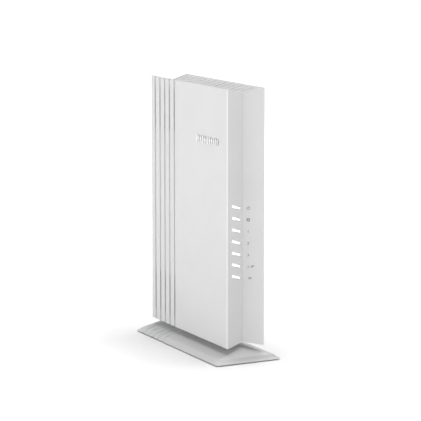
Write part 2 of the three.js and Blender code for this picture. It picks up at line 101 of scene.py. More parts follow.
def add_floor():
    """A wide, very pale floor. It glows a little all round the stand, and not beneath it, so that the light
    of a white studio surrounds the object and its underside stays in shadow. The glow also paints a shadow:
    it is weak at the stand's edge and grows outward."""
    half = 20
    mesh = bpy.data.meshes.new("floor")
    corners = [(-half, -half, 0), (half, -half, 0), (half, half, 0), (-half, half, 0)]
    mesh.from_pydata(corners, [], [(0, 1, 2, 3)])
    floor = bpy.data.objects.new("floor", mesh)
    bpy.context.scene.collection.objects.link(floor)
    nodes = Nodes("floor_white")
    nodes.set(Base_Color=(0.9, 0.9, 0.9), Roughness=0.9, Specular_IOR_Level=0.1, Emission_Color=(1, 1, 1))
    stand_half = Vector(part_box("stand_cover")[1])
    outside = nodes.math(
        "MAXIMUM",
        nodes.math("SUBTRACT", nodes.math("ABSOLUTE", nodes.axis("X")), stand_half.x),
        nodes.math("SUBTRACT", nodes.math("ABSOLUTE", nodes.axis("Y")), stand_half.y),
    )
    # painted shadow: the glow is faint at the stand's edge, grows outward over GLOW_REACH, and is off beneath
    # the stand
    glow = nodes.ranged(outside, GLOW_NEAR, GLOW_FAR, 0, GLOW_REACH)
    shown = nodes.math("GREATER_THAN", outside, -0.001)
    nodes.link(nodes.math("MULTIPLY", glow, shown), nodes.shader.inputs["Emission Strength"])
    mesh.materials.append(nodes.material)


def add_area_light(name, place, size, power, aim=(0, 0, 0.12)):
    data = bpy.data.lights.new(name, "AREA")
    data.shape = "SQUARE"
    data.size = size
    data.energy = power
    light = bpy.data.objects.new(name, data)
    light.location = place
    light.rotation_euler = (Vector(aim) - Vector(place)).to_track_quat("-Z", "Y").to_euler()
    bpy.context.scene.collection.objects.link(light)


def add_light():
    """Surroundings that are white at the horizon and softer above, and a few large lamps."""
    world = bpy.data.worlds.new("studio")
    world.use_nodes = True
    tree = world.node_tree
    background = tree.nodes["Background"]
    background.inputs["Color"].default_value = (1, 1, 1, 1)
    direction = tree.nodes.new("ShaderNodeSeparateXYZ")
    tree.links.new(tree.nodes.new("ShaderNodeTexCoord").outputs["Generated"], direction.inputs["Vector"])
    fade = tree.nodes.new("ShaderNodeMapRange")
    tree.links.new(direction.outputs["Z"], fade.inputs["Value"])
    fade.inputs["From Min"].default_value = 0.12
    fade.inputs["From Max"].default_value = 0.4
    fade.inputs["To Min"].default_value = HORIZON
    fade.inputs["To Max"].default_value = SKY
    tree.links.new(fade.outputs["Result"], background.inputs["Strength"])
    bpy.context.scene.world = world
    for name, place, size, power in LAMPS:
        add_area_light(name, place, size, power)
    bpy.context.scene.view_settings.view_transform = "Standard"


# ---------------------------------------------------------------- materials

class Nodes:
    """A material's node tree with short calls for the few kinds of node used here."""

    def __init__(self, name):
        self.material = bpy.data.materials.new(name)
        self.material.use_nodes = True
        self.tree = self.material.node_tree
        self.shader = self.tree.nodes["Principled BSDF"]
        self.place = self.tree.nodes.new("ShaderNodeTexCoord").outputs["Object"]

    def link(self, source, target):
        self.tree.links.new(source, target)

    def set(self, **values):
        """Uniform values on the shader's own sockets."""
        for name, value in values.items():
            socket = self.shader.inputs[name.replace("_", " ")]
            socket.default_value = (*value, 1) if isinstance(value, tuple) else value

    def noise(self, size, detail=2, stretch=(1, 1, 1)):
        """Noise whose blobs are about size metres across, longer where stretch is small."""
        mapping = self.tree.nodes.new("ShaderNodeMapping")
        mapping.inputs["Scale"].default_value = stretch
        self.link(self.place, mapping.inputs["Vector"])
        node = self.tree.nodes.new("ShaderNodeTexNoise")
        node.inputs["Scale"].default_value = 1 / size
        node.inputs["Detail"].default_value = detail
        self.link(mapping.outputs["Vector"], node.inputs["Vector"])
        return node.outputs["Fac"]

    def ranged(self, source, low, high, start=0.3, end=0.7):
        node = self.tree.nodes.new("ShaderNodeMapRange")
        node.inputs["From Min"].default_value = start
        node.inputs["From Max"].default_value = end
        node.inputs["To Min"].default_value = low
        node.inputs["To Max"].default_value = high
        self.link(source, node.inputs["Value"])
        return node.outputs["Result"]

    def mixed(self, factor, first, second):
        """A colour between two colours or colour sources, by factor."""
        node = self.tree.nodes.new("ShaderNodeMix")
        node.data_type = "RGBA"
        self.link(factor, node.inputs["Factor"])
        for socket, colour in ((node.inputs[6], first), (node.inputs[7], second)):
            if isinstance(colour, tuple):
                socket.default_value = (*colour, 1)
            else:
                self.link(colour, socket)
        return node.outputs[2]

    def axis(self, name):
        """One coordinate of the place on the surface, in metres."""
        node = self.tree.nodes.new("ShaderNodeSeparateXYZ")
        self.link(self.place, node.inputs["Vector"])
        return node.outputs[name]

    def math(self, operation, *values):
        node = self.tree.nodes.new("ShaderNodeMath")
        node.operation = operation
        for socket, value in zip(node.inputs, values):
            if isinstance(value, (int, float)):
                socket.default_value = value
            else:
                self.link(value, socket)
        return node.outputs[0]

    def bump(self, height, distance, strength=1.0):
        node = self.tree.nodes.new("ShaderNodeBump")
        node.inputs["Strength"].default_value = strength
        node.inputs["Distance"].default_value = distance
        self.link(height, node.inputs["Height"])
        self.link(node.outputs["Normal"], self.shader.inputs["Normal"])

    def colour(self, source):
        self.link(source, self.shader.inputs["Base Color"])

    def roughness(self, source):
        self.link(source, self.shader.inputs["Roughness"])


def shade(colour, factor):
    return tuple(min(1.0, c * factor) for c in colour)


def plastic(name, colour, roughness, grain=0.0003, relief=0.00002, change=0.015):
    """Moulded plastic: a fine spark-eroded grain, with faint flow marks in colour and gloss."""
    nodes = Nodes(name)
    flow = nodes.noise(0.03, detail=3)
    nodes.base = nodes.mixed(nodes.ranged(flow, 0, 1), shade(colour, 1 - change), shade(colour, 1 + change))
    nodes.colour(nodes.base)
    fine = nodes.noise(grain, detail=3)
    nodes.roughness(nodes.ranged(fine, roughness - 0.06, roughness + 0.06))
    nodes.bump(fine, relief)
    return nodes


def metal(name, colour, roughness, stretch=(1, 1, 1), grain=0.0002, relief=0.000004):
    """Bare or plated metal, brushed along the axis where stretch is small."""
    nodes = Nodes(name)
    nodes.set(Metallic=1.0)
    streaks = nodes.noise(grain, detail=3, stretch=stretch)
    cloud = nodes.noise(0.006, detail=2)
    nodes.colour(nodes.mixed(nodes.ranged(cloud, 0, 1), shade(colour, 0.93), shade(colour, 1.05)))
    nodes.roughness(nodes.ranged(streaks, roughness - 0.07, roughness + 0.09))
    nodes.bump(streaks, relief)
    return nodes


def board_material():
    """Solder mask over copper: patches of parallel traces, and the glass weave below."""
    nodes = Nodes("board_green")
    bricks = nodes.tree.nodes.new("ShaderNodeTexBrick")
    swap = nodes.tree.nodes.new("ShaderNodeMapping")
    swap.inputs["Rotation"].default_value = (0, math.radians(90), math.radians(90))
    nodes.link(nodes.place, swap.inputs["Vector"])
    nodes.link(swap.outputs["Vector"], bricks.inputs["Vector"])
    bricks.inputs["Scale"].default_value = 160
    bricks.inputs["Mortar Size"].default_value = 0.03
    bricks.inputs["Mortar Smooth"].default_value = 0.2
    bricks.inputs["Brick Width"].default_value = 2.6
    bricks.inputs["Row Height"].default_value = 0.14
    mask, copper = (0.012, 0.10, 0.045), (0.035, 0.20, 0.09)
    areas = nodes.ranged(nodes.noise(0.014, detail=1), 0, 1, 0.5, 0.53)
    traces = nodes.mixed(bricks.outputs["Fac"], copper, mask)
    nodes.colour(nodes.mixed(areas, traces, mask))
    weave = nodes.noise(0.0006, detail=2)
    nodes.roughness(nodes.ranged(weave, 0.3, 0.42))
    nodes.bump(bricks.outputs["Fac"], 0.00003, strength=0.4)
    return nodes


def casing_material():
    """Casing plastic, with a painted highlight that makes it a little lighter along the long edges of the two
    large faces.
    """
    nodes = plastic("casing_white", WHITE, 0.42)
    # painted highlight: the colour turns lighter near the long rounded edges, where they catch the light
    along = nodes.ranged(nodes.math("ABSOLUTE", nodes.axis("Y")), 0, 1, mm(72.2), mm(73.2))
    across = nodes.ranged(nodes.math("ABSOLUTE", nodes.axis("X")), 0, 1, mm(16.8), mm(17.6))
    nodes.colour(nodes.mixed(nodes.math("MULTIPLY", along, across), nodes.base, shade(WHITE, 1.2)))
    return nodes


def badge_material():
    """White raised bars with painted shade that darkens them towards their foot."""
    nodes = plastic("badge_white", (0.86, 0.86, 0.86), 0.3, relief=0.000004, change=0.005)
    # painted shade: the bars' colour turns dark grey near the face they stand on
    raised = nodes.ranged(nodes.math("ABSOLUTE", nodes.axis("X")), 0, 1, mm(18.5), mm(18.9))
    nodes.colour(nodes.mixed(raised, (0.22, 0.22, 0.225), nodes.base))
    return nodes


def window_material():
    """Milky light windows, lit evenly from behind."""
    nodes = plastic("window_white", (0.9, 0.9, 0.9), 0.28, grain=0.0005, relief=0.000004, change=0.005)
    nodes.set(Emission_Color=(1, 1, 1), Emission_Strength=0.35, Coat_Weight=0.3)
    return nodes


WHITE = (0.585, 0.585, 0.587)
MATERIALS = {
    "casing_white": casing_material(),
    "stand_white": plastic("stand_white", shade(WHITE, 0.985), 0.45),
    "panel_grey": plastic("panel_grey", (0.6, 0.605, 0.61), 0.5, grain=0.0005, relief=0.00004),
    "window_white": window_material(),
    "badge_white": badge_material(),
    "button_grey": plastic("button_grey", (0.2, 0.205, 0.21), 0.42),
    "black_plastic": plastic("black_plastic", (0.02, 0.02, 0.021), 0.4, grain=0.0004, change=0.1),
    "rubber_grey": plastic(
        "rubber_grey", (0.045, 0.045, 0.046), 0.75, grain=0.0006, relief=0.00008, change=0.1
    ),
    "foam_black": plastic("foam_black", (0.02, 0.02, 0.02), 0.9, grain=0.0008, relief=0.0003, change=0.2),
    "board_green": board_material(),
    "chip_black": plastic("chip_black", (0.025, 0.026, 0.028), 0.5, grain=0.0002, change=0.08),
    "pad_grey": plastic("pad_grey", (0.4, 0.46, 0.5), 0.7, grain=0.0006, relief=0.00006, change=0.04),
    "steel": metal("steel", (0.56, 0.57, 0.58), 0.33),
    "tin_plate": metal("tin_plate", (0.66, 0.67, 0.68), 0.3, stretch=(1, 0.08, 1)),
    "aluminium": metal("aluminium", (0.62, 0.63, 0.64), 0.38, stretch=(1, 1, 0.05), grain=0.0003),
    "nickel": metal("nickel", (0.66, 0.64, 0.6), 0.2, stretch=(1, 0.3, 1)),
    "gold": metal("gold", (0.85, 0.62, 0.26), 0.18, stretch=(1, 0.1, 1)),
    "insulator_white": plastic("insulator_white", (0.82, 0.81, 0.77), 0.45, relief=0.00001),
    "lead_grey": plastic("lead_grey", (0.07, 0.073, 0.078), 0.45, grain=0.0006),
}
PRINT = plastic("print_grey", (0.16, 0.165, 0.17), 0.5, relief=0.000004, change=0.04)


# ---------------------------------------------------------------- pieces made from meshes

slot_of = {row["node"]: row["material_slot"] for row in frame["record"]["subparts"]}
body_of = {
    node: body
    for body, members in frame["record"]["behaviour"]["bodies"].items()
    for node in members
}


def add_piece(name, mesh, node, stands_in=True, material=None):
    """A new piece on a node's body. Unless told, it stands in for the node and takes its slot."""
    piece = bpy.data.objects.new(name, mesh)
    bpy.context.scene.collection.objects.link(piece)
    mesh.materials.clear()
    mesh.materials.append((material or MATERIALS[slot_of[node]]).material)
    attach(piece, body_of[node])
    if stands_in:
        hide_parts(node)
    return piece


def mesh_of(bm, name):
    mesh = bpy.data.meshes.new(name)
    bm.to_mesh(mesh)
    bm.free()
    return mesh


def smooth_by_angle(bm, degrees):
    limit = math.radians(degrees)
    for face in bm.faces:
        face.smooth = True
    for edge in bm.edges:
        edge.smooth = len(edge.link_faces) == 2 and edge.calc_face_angle() < limit


def finish(name, bm, node, sharp=35):
    """Turns a built shape into the piece that stands in for a node."""
    smooth_by_angle(bm, sharp)
    piece = add_piece(name, mesh_of(bm, name), node)
    weighted = piece.modifiers.new("flat_faces", "WEIGHTED_NORMAL")
    weighted.keep_sharp = True
    return piece


def carved(bm, tools, operation="DIFFERENCE"):
    """The shape bm with the shape tools taken away, or joined to it. Both are used up."""
    pair = []
    for shape, name in ((bm, "carve_base"), (tools, "carve_tool")):
        bmesh.ops.recalc_face_normals(shape, faces=shape.faces)
        pair.append(bpy.data.objects.new(name, mesh_of(shape, name)))
        bpy.context.scene.collection.objects.link(pair[-1])
    base, tool = pair
    modifier = base.modifiers.new("carve", "BOOLEAN")
    modifier.operation = operation
    modifier.solver = "EXACT"
    modifier.object = tool
    bpy.context.view_layer.update()
    result = base.evaluated_get(bpy.context.evaluated_depsgraph_get()).to_mesh()
    made = bmesh.new()
    made.from_mesh(result)
    bmesh.ops.remove_doubles(made, verts=made.verts, dist=1e-7)
    for thing in pair:
        mesh = thing.data
        bpy.data.objects.remove(thing)
        bpy.data.meshes.remove(mesh)
    return made


def loft(bm, loops):
    """Adds a closed body through loops of points with equal counts."""
    rings = [[bm.verts.new(point) for point in loop] for loop in loops]
    count = len(rings[0])
    for first, second in zip(rings, rings[1:]):
        for i in range(count):
            j = (i + 1) % count
            bm.faces.new((first[i], first[j], second[j], second[i]))
    bm.faces.new(rings[0])
    bm.faces.new(list(reversed(rings[-1])))


def box_shape(bm, low, high):
    """Adds a box given by its corners, in millimetres."""
    (x0, y0, z0), (x1, y1, z1) = low, high
    loft(bm, [[mm(x0, y0, z), mm(x1, y0, z), mm(x1, y1, z), mm(x0, y1, z)] for z in (z0, z1)])


def hull_shape(points):
    bm = bmesh.new()
    for point in points:
        bm.verts.new(mm(*point))
    bmesh.ops.convex_hull(bm, input=bm.verts)
    bmesh.ops.dissolve_limit(bm, angle_limit=math.radians(0.5), verts=bm.verts, edges=bm.edges)
    return bm


def arc(centre, radius, start, end, steps=14):
    """Points along an arc, in degrees counted from the right, over the top when they grow."""
    turns = [math.radians(start + (end - start) * i / steps) for i in range(steps + 1)]
    return [(centre[0] + radius * math.cos(a), centre[1] + radius * math.sin(a)) for a in turns]


def rounded_rectangle(half_u, half_v, radius, steps=3):
    """Points round a rectangle with round corners, about (0, 0)."""
    radius = min(radius, half_u, half_v)
    points = []
    for corner, (side_u, side_v) in enumerate(((1, 1), (-1, 1), (-1, -1), (1, -1))):
        centre = (side_u * (half_u - radius), side_v * (half_v - radius))
        points += arc(centre, radius, 90 * corner, 90 * corner + 90, steps)
    return points


def circle(radius, steps=40):
    return arc((0, 0), radius, 0, 360, steps)[:-1]


def flare(bm, outline, place, radius, steps=4):
    """Adds a tool that rounds the mouth of a hole. outline(wider) gives the hole's edge grown by wider,
    and place(u, v, depth) turns it into metres, with depth measured into the wall."""
    hair = 0.004  # keeps the tool's faces off the hole's own faces
    rows = [(-0.6, radius)]
    for i in range(steps + 1):
        turn = math.radians(90) * i / steps
        rows.append((radius * (1 - math.cos(turn)) - hair / 2, radius * (1 - math.sin(turn)) - hair))
    rows.append((radius + 0.2, -0.06))
    loft(bm, [[place(u, v, depth) for u, v in outline(wider)] for depth, wider in rows])


def turned(profile, place=(0, 0), sides=64):
    """A closed turned body about a line along +Y through place, (x, z) in mm; the profile is
    (radius, y) pairs, where a radius may also be a function of the turn."""
    bm = bmesh.new()
    rings = []
    for radius, y in profile:
        if radius == 0:
            rings.append([bm.verts.new(mm(place[0], y, place[1]))])
            continue
        ring = []
        for i in range(sides):
            turn = i / sides
            out = radius(turn) if callable(radius) else radius
            x = place[0] + out * math.sin(2 * math.pi * turn)
            z = place[1] + out * math.cos(2 * math.pi * turn)
            ring.append(bm.verts.new(mm(x, y, z)))
        rings.append(ring)
    for first, second in zip(rings, rings[1:]):
        for i in range(sides):
            j = (i + 1) % sides
            corners = [first[i % len(first)], first[j % len(first)]]
            corners += [second[j % len(second)], second[i % len(second)]]
            bm.faces.new(list(dict.fromkeys(corners)))
    bmesh.ops.recalc_face_normals(bm, faces=bm.faces)
    return bm


# ---------------------------------------------------------------- printed signs

# Each sign is a list of strokes in a box one high, with its middle at x = 0.
SIGNS = {
    "1": [[(-0.2, 0.8), (0.03, 1), (0.03, 0)]],
    "2": [arc((0, 0.71), 0.29, 165, -35) + [(-0.28, 0), (0.32, 0)]],
    "3": [arc((0, 0.75), 0.25, 150, -90), arc((0, 0.26), 0.28, 90, -150)],
    "4": [[(0.13, 0), (0.13, 1), (-0.32, 0.3), (0.32, 0.3)]],
    "5": [[(0.26, 1), (-0.2, 1), (-0.24, 0.56)] + arc((-0.01, 0.31), 0.3, 120, -150)],
    ".": [[(0, 0), (0, 0.12)]],
    "power": [arc((0, 0.48), 0.46, 125, 415, 24), [(0, 0.55), (0, 1.05)]],
    "globe": [
        arc((0, 0.5), 0.48, 0, 360, 28),
        [(-0.48, 0.5), (0.48, 0.5)],
        arc((-0.28, 0.5), 0.54, -55, 55, 10),
        arc((0.28, 0.5), 0.54, 125, 235, 10),
    ],
    "waves": [arc((0, 0.05), r, 40, 140, 10) for r in (0.35, 0.65, 0.95)] + [arc((0, 0.05), 0.06, 0, 360, 8)],
}


def stroke_sides(points, width):
    """The two edges of a stroke of even width along a line of points, mitred where it bends."""
    path = [Vector(p) for p in points]
    closed = (path[0] - path[-1]).length < 1e-6
    left, right = [], []
    for i, point in enumerate(path):
        before = path[i - 1] if i else (path[-2] if closed else None)
        after = path[i + 1] if i + 1 < len(path) else (path[1] if closed else None)
        ways = [(b - a).normalized() for a, b in ((before, point), (point, after)) if a and b]
        way = sum(ways, Vector((0, 0))).normalized()
        across = Vector((-way.y, way.x)) * width / 2 / max(0.5, way.dot(ways[0]))
        left.append(point + across)
        right.append(point - across)
    return left, right


def add_sign(name, signs, height, place, node, width=0.27, spacing=0.86):
    """Print on a node: thin ink in the shape of the signs, with place turning (x, y, lift) into metres."""
    bm = bmesh.new()
    lift = (0.01, 0.05)
    start = -(len(signs) - 1) / 2 * spacing * height
    for index, sign in enumerate(signs):
        shift = start + index * spacing * height
        for stroke in SIGNS[sign]:
            points = [(shift + x * height, (y - 0.5) * height) for x, y in stroke]
            left, right = stroke_sides(points, width)
            outline = [
                [bm.verts.new(place(p.x, p.y, z)) for p in pair for z in lift]
                for pair in zip(left, right)
            ]
            for (a0, a1, b0, b1), (c0, c1, d0, d1) in zip(outline, outline[1:]):
                for face in ((a1, c1, d1, b1), (a0, b0, d0, c0), (a0, c0, c1, a1), (b0, b1, d1, d0)):
                    bm.faces.new(face)
            for (a0, a1, b0, b1) in (outline[0], outline[-1]):
                bm.faces.new((a0, a1, b1, b0))
    bmesh.ops.remove_doubles(bm, verts=bm.verts, dist=1e-7)
    bmesh.ops.recalc_face_normals(bm, faces=bm.faces)
    add_piece(name, mesh_of(bm, name), node, stands_in=False, material=PRINT)


FACE_X = 18  # half the body's thickness
FRONT_EDGE = -74  # where the front walls meet the two large faces
FRONT_VALLEY = -68  # where they meet each other


def front_right_wall(from_valley, height):
    """Places a sign on the front wall right of the valley."""
    along = Vector((FACE_X, FRONT_EDGE - FRONT_VALLEY, 0)).normalized()
    outward = Vector((along.y, -along.x, 0))

    def place(x, y, lift):
        point = Vector((0, FRONT_VALLEY, height)) + along * (from_valley + x) + outward * lift
        return mm(*(point + Vector((0, 0, y))))

    return place


def rear_panel_face(across, height):
    """Places a sign on the rear panel, read from behind."""
    panel_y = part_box("rear_panel")[1][1] * 1000

    def place(x, y, lift):
        return mm(across - x, panel_y + lift, height + y)

    return place


def add_signs():
    """The signs beside the light windows, and those beside the rear jacks and buttons."""
    pitch = 10.1
    top = 132.4
    rows = [
        ("sign_power", ["power"], 2.9, 4.7, 0.42),
        ("sign_internet", ["globe"], 2.9, 4.7, 0.34),
        ("sign_port_1", ["1"], 1.9, 4.6, 0.4),
        ("sign_port_2", ["2"], 1.9, 4.6, 0.4),
        ("sign_port_3", ["3"], 1.9, 4.6, 0.4),
        ("sign_wide_band", ["2", ".", "4", "waves"], 1.6, 6.7, 0.3),
        ("sign_fast_band", ["5", "waves"], 1.6, 6.1, 0.3),
    ]
    for index, (name, signs, size, from_valley, width) in enumerate(rows):
        place = front_right_wall(from_valley, top - index * pitch)
        add_sign(name, signs, size, place, "right_shell", width)
    for index in (1, 2, 3):
        jack = middle(f"lan_port_{index}_shield") * 1000
        place = rear_panel_face(8.3, jack.z)
        add_sign(f"rear_sign_port_{index}", [str(index)], 1.9, place, "rear_panel", 0.25)
    button = middle("power_button") * 1000
    add_sign("rear_sign_power", ["power"], 2.6, rear_panel_face(0, button.z + 7.4), "rear_panel", 0.3)
    pairing = middle("pairing_button") * 1000
    add_sign("rear_sign_pairing", ["waves"], 2.4, rear_panel_face(6.2, pairing.z), "rear_panel", 0.28)


# ---------------------------------------------------------------- shells

BODY_BOTTOM = 12.8
BODY_TOP = 234.8
BODY_HALF = 74  # half the body's length
END_VALLEY = 4  # how far the top and bottom fold in at mid thickness
PITCH = 9.6  # of the grooves and the vents
FIRST_GROOVE = 8.7  # from the rear edge
GROOVES = 5
GROOVE_HALF = 1.3
VENTS = 14
VENT_HALF = 1.2
LIGHTS = 7
LIGHT_PITCH = 10
TOP_LIGHT = 133.9
WINDOW_X = -7.45
WINDOW_HALF = (5.25, 1.3)
WINDOW_TILT = math.radians(17)
SEAM = 0.2  # the shells' parting faces lie nearer to mid thickness than this
SEAM_CLOSED = 0.3  # how much of that gap a closed moulding shows


def groove_y(index):
    return BODY_HALF - FIRST_GROOVE - index * PITCH


def fold(x):
    """1 at mid thickness, 0 at the large faces."""
    return 1 - abs(x) / FACE_X


def add_groove_mouths(bm, side):
    """Rounds the long edges of the grooves in a large face."""
    reach = (BODY_TOP - BODY_BOTTOM) / 2 + 3
    height = (BODY_TOP + BODY_BOTTOM) / 2
    for index in range(GROOVES):
        y = groove_y(index)
        flare(
            bm,
            lambda wider: rounded_rectangle(reach, GROOVE_HALF + wider, 0.01, 1),
            lambda u, v, depth: mm(side * (FACE_X - depth), y + v, height + u),
            0.15,
        )


def add_vent_mouths(bm, side):
    """Rounds the edges of the vents in the top and the bottom."""
    ends = (
        ((2, 14.5), lambda x, depth: BODY_TOP - END_VALLEY * fold(x) - depth),
        ((9.5, 14.5), lambda x, depth: BODY_BOTTOM + END_VALLEY * fold(x) + depth),
    )
    for (inner, outer), level in ends:
        half, centre = (outer - inner) / 2, (outer + inner) / 2
        for index in range(VENTS):
            y = groove_y(index)
            flare(
                bm,
                lambda wider: rounded_rectangle(half + wider, VENT_HALF + wider, 0.1 + max(0, wider)),
                lambda u, v, depth: mm(side * (centre + u), y + v, level(centre + u, depth)),
                0.9,
            )


def add_window_mouths(bm):
    """Rounds the edges of the light windows in the front of the left shell."""
    run, rise = math.cos(WINDOW_TILT), math.sin(WINDOW_TILT)
    for index in range(LIGHTS):
        height = TOP_LIGHT - index * LIGHT_PITCH

        def place(u, v, depth):
            x = WINDOW_X + u * run + v * rise
            y = FRONT_EDGE + (FRONT_VALLEY - FRONT_EDGE) * fold(x) + depth
            return mm(x, y, height - u * rise + v * run)

        def outline(wider):
            return rounded_rectangle(WINDOW_HALF[0] + wider, WINDOW_HALF[1] + wider, 0.05 + max(0, wider))

        flare(bm, outline, place, 0.2)


def add_shells():
    for node, side in (("left_shell", -1), ("right_shell", 1)):
        shell = bmesh.new()
        shell.from_mesh(frame["nodes"][node].data)
        bmesh.ops.remove_doubles(shell, verts=shell.verts, dist=1e-6)
        for vert in shell.verts:
            if abs(vert.co.x) < mm(SEAM):
                vert.co.x *= SEAM_CLOSED
        tools = bmesh.new()
        add_groove_mouths(tools, side)
        add_vent_mouths(tools, side)
        if side < 0:
            add_window_mouths(tools)
        finish(f"{node}_fine", carved(shell, tools), node)


# ---------------------------------------------------------------- stand

STAND_UNDERSIDE = 1
CREASE_HEIGHT = 4.8
RIDGE_HEIGHT = 11.8
STAND_BEVEL = 5  # inset of the crease all round
STAND_CORNER = 1.2  # radius of the rim's corners, seen from above
RIM_ROUND = 0.12
RIDGE_INSETS = (14.9, 7.2)  # from the front and the rear end
STAND_GROOVE_DEPTH = 0.8
CREASE_ROUND = 0.35
GROOVE_EDGE_ROUND = 0.35
NECK_HALF = 4.5
NECK_FRONT = -50
NECK_REAR = 60
NECK_FOOT = 7  # inside the roof
RECESS_HALF = (25.7, 74.7)  # of the seat for the bottom cover
RECESS_TOP = 3.8
HOLLOW_HALF = (23.5, 72.5)
HOLLOW_FOOT = 3.7  # where the hollow under the roof starts
HOLLOW_RIDGE = (-64, 70)
ROOF_WALL = 2.2
SCREW_PLACES = (-42, 42)
SCREW_HEAD_BORE = 3.3
SCREW_BORE = 1.75


def rectangle(z, half_x, half_y):
    return [(x, y, z) for x in (-half_x, half_x) for y in (-half_y, half_y)]


def stand_grooves(half_x):
    """The grooves across the roof: strips that follow its slopes, with rounded edges."""
    crease_x = half_x - STAND_BEVEL
    slope = (CREASE_HEIGHT - STAND_UNDERSIDE) / STAND_BEVEL
    past = 3  # the strips run out past the rim
    line = [
        (-half_x - past, STAND_UNDERSIDE - past * slope),
        (-crease_x, CREASE_HEIGHT),
        (0, RIDGE_HEIGHT),
        (crease_x, CREASE_HEIGHT),
        (half_x + past, STAND_UNDERSIDE - past * slope),
    ]
    radius = GROOVE_EDGE_ROUND
    rows = [(STAND_GROOVE_DEPTH, 0), (radius, 0)]
    for i in (1, 2, 3):
        turn = math.radians(90 - 30 * i)
        rows.append((radius * (1 - math.cos(turn)), radius * (1 - math.sin(turn))))
    rows.append((-2, radius))
    bm = bmesh.new()
    for index in range(GROOVES):
        y = groove_y(index)
        section = [(depth, -GROOVE_HALF - wider) for depth, wider in rows]
        section += [(depth, GROOVE_HALF + wider) for depth, wider in reversed(rows)]
        loft(bm, [[mm(x, y + v, z - depth) for depth, v in section] for x, z in line])
    return bm


def add_stand():
    """The stand with its rounded creases, grooves, hollow underside and neck."""
    high = Vector(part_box("stand_cover")[1]) * 1000
    half_x, half_y = high.x, high.y
    roof = []
    for z, inset in ((STAND_UNDERSIDE, RIM_ROUND), (STAND_UNDERSIDE + RIM_ROUND, 0)):
        roof += [(x, y, z) for x, y in rounded_rectangle(half_x - inset, half_y - inset, STAND_CORNER)]
    roof += rectangle(CREASE_HEIGHT, half_x - STAND_BEVEL, half_y - STAND_BEVEL)
    roof += [(0, -half_y + RIDGE_INSETS[0], RIDGE_HEIGHT), (0, half_y - RIDGE_INSETS[1], RIDGE_HEIGHT)]
    shape = hull_shape(roof)
    creases = [e for e in shape.edges if all(v.co.z > mm(CREASE_HEIGHT - 0.1) for v in e.verts)]
    bmesh.ops.bevel(shape, geom=creases, offset=mm(CREASE_ROUND), segments=3, profile=0.5, affect="EDGES")
    shape = carved(shape, stand_grooves(half_x))
    recess = bmesh.new()
    recess_x, recess_y = RECESS_HALF
    box_shape(recess, (-recess_x, -recess_y, 0), (recess_x, recess_y, RECESS_TOP))
    shape = carved(shape, recess)
    hollow = rectangle(HOLLOW_FOOT, *HOLLOW_HALF)
    hollow += [(0, y, RIDGE_HEIGHT - ROOF_WALL) for y in HOLLOW_RIDGE]
    shape = carved(shape, hull_shape(hollow))
    neck = bmesh.new()
    outline = rounded_rectangle(NECK_HALF, (NECK_REAR - NECK_FRONT) / 2, 0.8)
    neck_y = (NECK_REAR + NECK_FRONT) / 2
    loft(neck, [[mm(x, y + neck_y, z) for x, y in outline] for z in (NECK_FOOT, high.z)])
    shape = carved(shape, neck, "UNION")
    for y in SCREW_PLACES:
        bore = turned([(0, -13), (SCREW_HEAD_BORE, -13), (SCREW_HEAD_BORE, -5), (0, -5)], sides=32)
        through = turned([(0, -25), (SCREW_BORE, -25), (SCREW_BORE, -5), (0, -5)], sides=24)
        for tool in (bore, through):
            bmesh.ops.rotate(tool, verts=tool.verts, matrix=Matrix.Rotation(math.radians(-90), 3, "X"))
            bmesh.ops.translate(tool, verts=tool.verts, vec=mm(0, y, 0))
            shape = carved(shape, tool)
    finish("stand_cover_fine", shape, "stand_cover", sharp=18)


def add_feet():
    """Round rubber feet, softened at both rims."""
    for place in ("front_left", "front_right", "rear_left", "rear_right"):
        centre = middle(f"foot_{place}") * 1000
        foot = turned([(0, 0), (4, 0), (4.3, 0.1), (4.5, 0.35), (4.5, 1.8), (4.3, 2), (0, 2)])
        bmesh.ops.rotate(foot, verts=foot.verts, matrix=Matrix.Rotation(math.radians(90), 3, "X"))
        bmesh.ops.translate(foot, verts=foot.verts, vec=mm(centre.x, centre.y, 0))
        finish(f"foot_{place}_fine", foot, f"foot_{place}")


# ---------------------------------------------------------------- rear connectors and buttons

def add_rear_panel():
    """The panel with a rounded edge at every hole."""
    panel = bmesh.new()
    panel.from_mesh(frame["nodes"]["rear_panel"].data)
    bmesh.ops.remove_doubles(panel, verts=panel.verts, dist=1e-6)
    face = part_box("rear_panel")[1][1] * 1000
    tools = bmesh.new()

    def mouth(outline, x, z):
        flare(tools, outline, lambda u, v, depth: mm(x + u, face - depth, z + v), 0.3)

    for node, radius in (
        ("coax_connector", 5.2),
        ("power_button", 4.5),
        ("reset_button", 1.4),
        ("panel_screw_upper", 1.7),
        ("panel_screw_lower", 1.7),
    ):
        mouth(lambda wider: circle(radius + wider), 0, middle(node).z * 1000)
    key_z = middle("pairing_button").z * 1000
    mouth(lambda wider: rounded_rectangle(2.3 + wider, 3.8 + wider, 0.05 + max(0, wider)), 0, key_z)
    for index in (1, 2, 3):
        z = middle(f"lan_port_{index}_shield").z * 1000
        mouth(lambda wider: rounded_rectangle(6.9 + wider, 8.25 + wider, 0.05 + max(0, wider)), 0.15, z)
    finish("rear_panel_fine", carved(panel, tools), "rear_panel")


